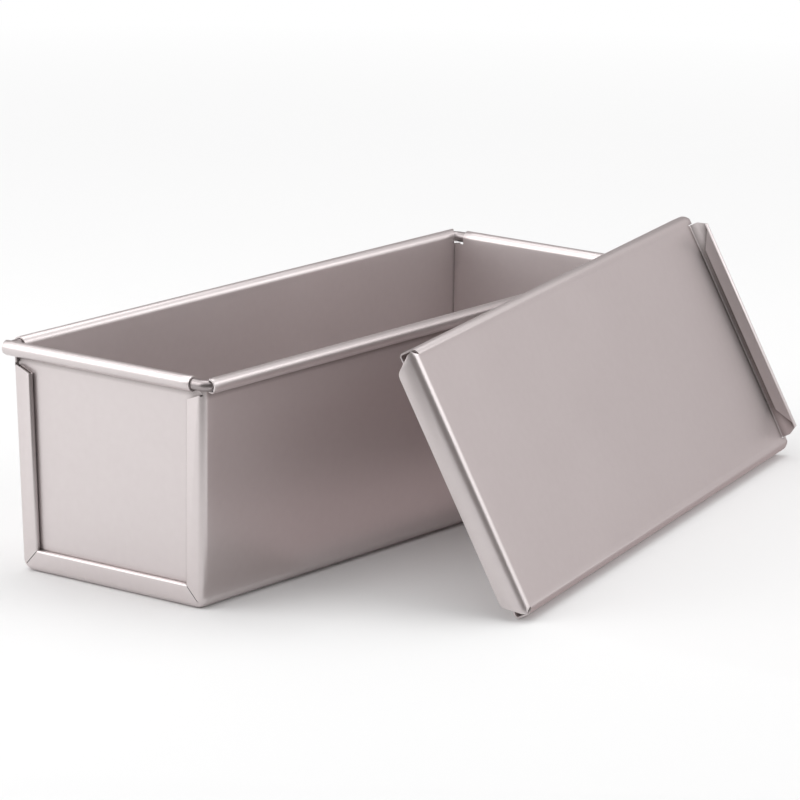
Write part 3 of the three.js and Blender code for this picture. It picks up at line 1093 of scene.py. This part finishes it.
class Shader:
    """A node material or world that is written as expressions."""

    def __init__(self, owner: Union[bpy.types.Material, bpy.types.World]) -> None:
        """Starts the owner's node tree afresh.

        Args:
            owner: The material or world.
        """
        owner.use_nodes = True
        self.tree = owner.node_tree
        self.tree.nodes.clear()

    def node(self, kind: str, settings: dict[str, object] | None = None,
             **values: object) -> bpy.types.Node:
        """Adds a node.

        Args:
            kind: The node's type without its ShaderNode prefix.
            settings: Its settings, set before its sockets.
            **values: Values or links by socket identifier, with underscores for spaces.

        Returns:
            The node.
        """
        made = self.tree.nodes.new(f"ShaderNode{kind}")
        for name, value in (settings or {}).items():
            setattr(made, name, value)
        for name, value in values.items():
            socket = next(s for s in made.inputs if s.identifier.replace(" ", "_") == name)
            if isinstance(value, Value):
                self.tree.links.new(value.socket, socket)
            else:
                socket.default_value = value
        return made

    def out(self, node: bpy.types.Node, name: str | None = None) -> Value:
        """A node's output, by its identifier, or else its first."""
        return Value(self.tree, next(s for s in node.outputs if name in (None, s.identifier)))

    def where(self) -> Value:
        """The place on a piece, in metres."""
        return self.out(self.node("TexCoord"), "Object")

    def noise(self, where: Value, scale: float, detail: float = 2.0, rough: float = 0.5) -> Value:
        """Noise between 0 and 1 at a number of features a metre."""
        return self.out(self.node("TexNoise", Vector=where, Scale=scale, Detail=detail, Roughness=rough))

    def blend(self, share: Value, low: Colour, high: Colour) -> Value:
        """Mixes two colours by a share.

        Args:
            share: The second colour's share, from 0 to 1.
            low: The colour at 0, plain or varying.
            high: The colour at 1.

        Returns:
            The mixed colour.
        """
        first, second = (c if isinstance(c, Value) else (*c, 1) for c in (low, high))
        mix = self.node("Mix", {"data_type": "RGBA"}, Factor_Float=share, A_Color=first, B_Color=second)
        return self.out(mix, "Result_Color")

    def edge(self, reach: float) -> Value:
        """How near a surface is to one of its edges.

        Args:
            reach: How far in from an edge it tells, in metres.

        Returns:
            0 on flat sheet, rising towards 1 on a sharp edge.
        """
        rounded = self.out(self.node("Bevel", {"samples": EDGE_SAMPLES}, Radius=reach))
        real = self.out(self.node("NewGeometry"), "Normal")
        facing = self.node("VectorMath", {"operation": "DOT_PRODUCT"}, Vector=rounded, Vector_001=real)
        return EDGE_GAIN * (1 - self.out(facing, "Value"))

    def fold(self, reach: float) -> Value:
        """How much painted shade a surface gets in one of its piece's folds, read from its ambient occlusion.

        Args:
            reach: How far it looks for the fold's other side, in metres.

        Returns:
            0 in the open, 1 in a right-angled fold.
        """
        settings = {"samples": FOLD_SHADE_SAMPLES, "only_local": True}
        around = self.node("AmbientOcclusion", settings, Distance=reach)
        return FOLD_SHADE_GAIN * (1 - self.out(around, "AO"))

    def background(self) -> Value:
        """1 for a ray that shows the background: straight, mirrored or through glass."""
        path = self.node("LightPath")
        return sum(self.out(path, f"Is {kind} Ray") for kind in ("Camera", "Glossy", "Transmission"))

    def finish(self, surface: bpy.types.Node, kind: str = "Material") -> None:
        """Joins the last node to the output."""
        output = self.node(f"Output{kind}")
        self.tree.links.new(surface.outputs[0], output.inputs["Surface"])


def stage_piece(name: str, bm: BMesh, only_mirrored: bool = False) -> Shader:
    """Makes a piece of the stage.

    Args:
        name: Its name.
        bm: Its shape, in metres.
        only_mirrored: Whether it shows in reflections alone, and shades nothing else.

    Returns:
        The shader of its material.
    """
    thing = new_shape(name, bm)
    for seen in ("camera", "diffuse", "transmission", "shadow"):
        setattr(thing, f"visible_{seen}", not only_mirrored)
    made = bpy.data.materials.new(name)
    thing.data.materials.append(made)
    return Shader(made)


@dataclass(frozen=True)
class CoatedSteel:
    """A satin pinkish silver coating on sheet steel, with a fine grain, slight waves, worn edges and painted
    shade in its folds.
    """

    name: str = "coated_steel"
    pale: tuple[float, float, float] = (0.68, 0.625, 0.622)
    deep: tuple[float, float, float] = (0.65, 0.592, 0.59)
    worn: tuple[float, float, float] = (0.76, 0.72, 0.71)
    # folded is the dark colour of the painted shade laid into the folds.
    folded: tuple[float, float, float] = (0.16, 0.13, 0.125)
    metallic: float = 0.8
    roughness: float = 0.36
    grain_scale: float = 1800.0
    grain_depth: float = 0.00002
    grain_roughness: float = 0.05
    mottle_scale: float = 260.0
    handling_scale: float = 22.0
    handling_roughness: float = 0.08
    wave_scale: float = 9.0
    wave_depth: float = 0.0004
    edge_reach: float = 0.0006
    edge_polish: float = 0.08
    least_wear: float = 0.4
    fold_shade_reach: float = 0.004

    def material(self) -> bpy.types.Material:
        """Makes the material.

        Returns:
            The material.
        """
        made = bpy.data.materials.new(self.name)
        shader = Shader(made)
        where = shader.where()
        grain = shader.noise(where, self.grain_scale)
        mottle = shader.noise(where, self.mottle_scale, detail=4.0)
        handling = shader.noise(where, self.handling_scale, detail=3.0)
        waves = shader.noise(where, self.wave_scale, detail=1.0)
        # Painted shade: ambient occlusion darkens the folds towards the folded colour and keeps edge wear out
        # of them.
        fold = shader.fold(self.fold_shade_reach)
        wear = self.least_wear + (1 - self.least_wear) * handling
        edge = shader.edge(self.edge_reach) * wear * (1 - fold)
        open_colour = shader.blend(edge, shader.blend(mottle, self.deep, self.pale), self.worn)
        colour = shader.blend(fold, open_colour, self.folded)
        fine_gloss = self.grain_roughness * (grain - NOISE_MIDDLE)
        broad_gloss = self.handling_roughness * (handling - NOISE_MIDDLE)
        rough = self.roughness + (fine_gloss + broad_gloss) - self.edge_polish * edge
        broad = shader.node("Bump", Strength=1.0, Distance=self.wave_depth, Height=waves)
        fine = shader.node("Bump", Strength=1.0, Distance=self.grain_depth, Height=grain,
                           Normal=shader.out(broad))
        surface = shader.node("BsdfPrincipled", Base_Color=colour, Metallic=self.metallic,
                              Roughness=rough, Normal=shader.out(fine))
        shader.finish(surface)
        return made


@dataclass(frozen=True)
class PlatedWire:
    """Smooth plated wire with uneven colour and gloss."""

    name: str = "plated_wire"
    pale: tuple[float, float, float] = (0.42, 0.38, 0.38)
    deep: tuple[float, float, float] = (0.33, 0.295, 0.295)
    metallic: float = 0.95
    roughness: float = 0.4
    mottle_scale: float = 400.0
    mottle_roughness: float = 0.1

    def material(self) -> bpy.types.Material:
        """Makes the material.

        Returns:
            The material.
        """
        made = bpy.data.materials.new(self.name)
        shader = Shader(made)
        where = shader.where()
        mottle = shader.noise(where, self.mottle_scale, detail=3.0)
        colour = shader.blend(mottle, self.deep, self.pale)
        rough = self.roughness + self.mottle_roughness * (mottle - NOISE_MIDDLE)
        surface = shader.node("BsdfPrincipled", Base_Color=colour, Metallic=self.metallic,
                              Roughness=rough)
        shader.finish(surface)
        return made


@dataclass(frozen=True)
class SoftBox:
    """A large rectangular lamp that shows as a plain bright patch in the metal."""

    name: str
    place: tuple[float, float, float]
    aim: tuple[float, float, float]
    width: float
    height: float
    radiance: float

    def add(self) -> None:
        """Places the lamp."""
        data = bpy.data.lights.new(self.name, "AREA")
        data.shape = "RECTANGLE"
        data.size = self.width
        data.size_y = self.height
        data.energy = self.radiance * math.pi * self.width * self.height
        thing = new_object(self.name, data)
        thing.location = self.place
        thing.rotation_euler = (Vector(self.aim) - Vector(self.place)).to_track_quat("-Z", "Y").to_euler()
        thing.visible_camera = False


@dataclass(frozen=True)
class MirrorCard:
    """A plain card that only the metal sees, as an even patch in its reflections.

    Its azimuth is the way it faces and its tilt is how far it is raised from lying flat, in degrees.
    """

    name: str
    place: tuple[float, float, float]
    azimuth: float
    tilt: float
    width: float
    height: float
    radiance: tuple[float, float, float]

    def add(self) -> None:
        """Puts the card in its place, tilted up from lying flat."""
        bm = bmesh.new()
        bmesh.ops.create_grid(bm, x_segments=1, y_segments=1, size=0.5)
        azimuth, tilt = math.radians(self.azimuth), math.radians(self.tilt)
        turn = Matrix.Rotation(azimuth - QUARTER, 4, "Z") @ Matrix.Rotation(tilt, 4, "X")
        size = Matrix.Diagonal((self.width, self.height, 1, 1))
        bmesh.ops.transform(bm, matrix=Matrix.Translation(self.place) @ turn @ size, verts=bm.verts)
        shader = stage_piece(self.name, bm, only_mirrored=True)
        shader.finish(shader.node("Emission", Color=(*self.radiance, 1)))


@dataclass(frozen=True)
class Studio:
    """A plain pale floor, soft light and the camera."""

    boxes: tuple[SoftBox, ...] = (
        SoftBox("key", (-1.2, 0.9, 0.95), (0, 0, 0.05), 1.5, 1.4, 1.9),
        SoftBox("top", (0.3, 0.3, 2.0), (0, 0, 0.05), 1.8, 1.6, 1.7),
        SoftBox("front right", (0.7, -1.2, 0.95), (0, 0, 0.05), 2.0, 0.5, 1.6),
    )
    cards: tuple[MirrorCard, ...] = (
        MirrorCard("camera card", (-0.33, -0.23, 0.16), 215, 90, 0.75, 0.32, (0.05, 0.035, 0.03)),
        MirrorCard("right card", (2.099, -0.073, 0.8), 358, 90, 2.0, 1.6, (0.57, 0.52, 0.52)),
        MirrorCard("floor card", (0.47, -0.62, 0.001), 90, 0, 1.1, 1.1, (0.44, 0.365, 0.365)),
        MirrorCard("back card", (1.12, 0.97, 1.1), 41, 90, 2.0, 2.2, (0.26, 0.23, 0.23)),
        MirrorCard("foot card", (-0.125, -0.083, 0.001), 90, 0, 0.09, 0.045, (0.26, 0.23, 0.225)),
    )
    ambient: float = 0.6
    floor_half: float = 6.0
    floor_tones: tuple[float, float] = (0.88, 0.9)
    floor_mottle: float = 3.0
    floor_roughness: float = 0.8
    fade_start: float = 0.45
    fade_length: float = 1.0
    camera_place: tuple[float, float, float] = (-1.7394, -1.3506, 0.5825)
    camera_way: tuple[float, float, float] = (0.7759, 0.5866, -0.2321)
    camera_roll: float = math.radians(0.925)
    lens: float = 220.7
    sensor: float = 36.0
    far_clip: float = 50.0

    def world(self) -> None:
        """White where it is seen, plain soft light elsewhere."""
        world = bpy.data.worlds.new("studio")
        bpy.context.scene.world = world
        shader = Shader(world)
        strength = self.ambient + (1 - self.ambient) * shader.background()
        background = shader.node("Background", Color=(1, 1, 1, 1), Strength=strength)
        shader.finish(background, "World")

    def floor(self) -> None:
        """Lays a wide pale floor under the pan, which fades to plain white far from it."""
        bm = bmesh.new()
        bmesh.ops.create_grid(bm, x_segments=1, y_segments=1, size=self.floor_half)
        shader = stage_piece("floor", bm)
        where = shader.where()
        low, high = ((tone,) * 3 for tone in self.floor_tones)
        colour = shader.blend(shader.noise(where, self.floor_mottle), low, high)
        matt = shader.node("BsdfPrincipled", Base_Color=colour, Roughness=self.floor_roughness)
        white = shader.out(shader.node("Emission", Color=(1, 1, 1, 1)))
        away = shader.out(shader.node("VectorMath", {"operation": "LENGTH"}, Vector=where), "Value")
        far = shader.out(shader.node("Clamp", Value=(away - self.fade_start) * (1 / self.fade_length)))
        share = far * shader.background()
        shader.finish(shader.node("MixShader", Fac=share, Shader=shader.out(matt), Shader_001=white))

    def camera(self) -> None:
        """Places the camera at the photograph's viewing angle."""
        data = bpy.data.cameras.new("camera")
        data.lens = self.lens
        data.sensor_width = self.sensor
        data.clip_end = self.far_clip
        thing = new_object("camera", data)
        back = -Vector(self.camera_way).normalized()
        level = Vector((0, 0, 1)).cross(back).normalized()
        right = Matrix.Rotation(self.camera_roll, 3, back) @ level
        turn = Matrix((right, back.cross(right), back)).transposed().to_4x4()
        thing.matrix_world = Matrix.Translation(self.camera_place) @ turn
        bpy.context.scene.camera = thing

    def build(self) -> None:
        """Sets the whole stage."""
        self.world()
        self.floor()
        for thing in (*self.boxes, *self.cards):
            thing.add()
        self.camera()
        bpy.context.scene.view_settings.view_transform = "Standard"


def main() -> None:
    """Builds the stage, the pan and the lid."""
    logging.basicConfig(level=logging.INFO, format="%(message)s")
    Studio().build()
    pan, fine = PanSizes(), Smoothness()
    steel, wire = CoatedSteel().material(), PlatedWire().material()
    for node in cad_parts.values():
        node.data.materials.clear()
        node.data.materials.append(wire if node.name == "rim_wire" else steel)
    PanBody(pan, fine).add(steel)
    EndPanel(pan, fine).add(steel)
    RimWire(pan, fine).add(wire)
    Lid(pan, LidSizes(), fine).add(steel)


if __name__ == "__main__":
    main()
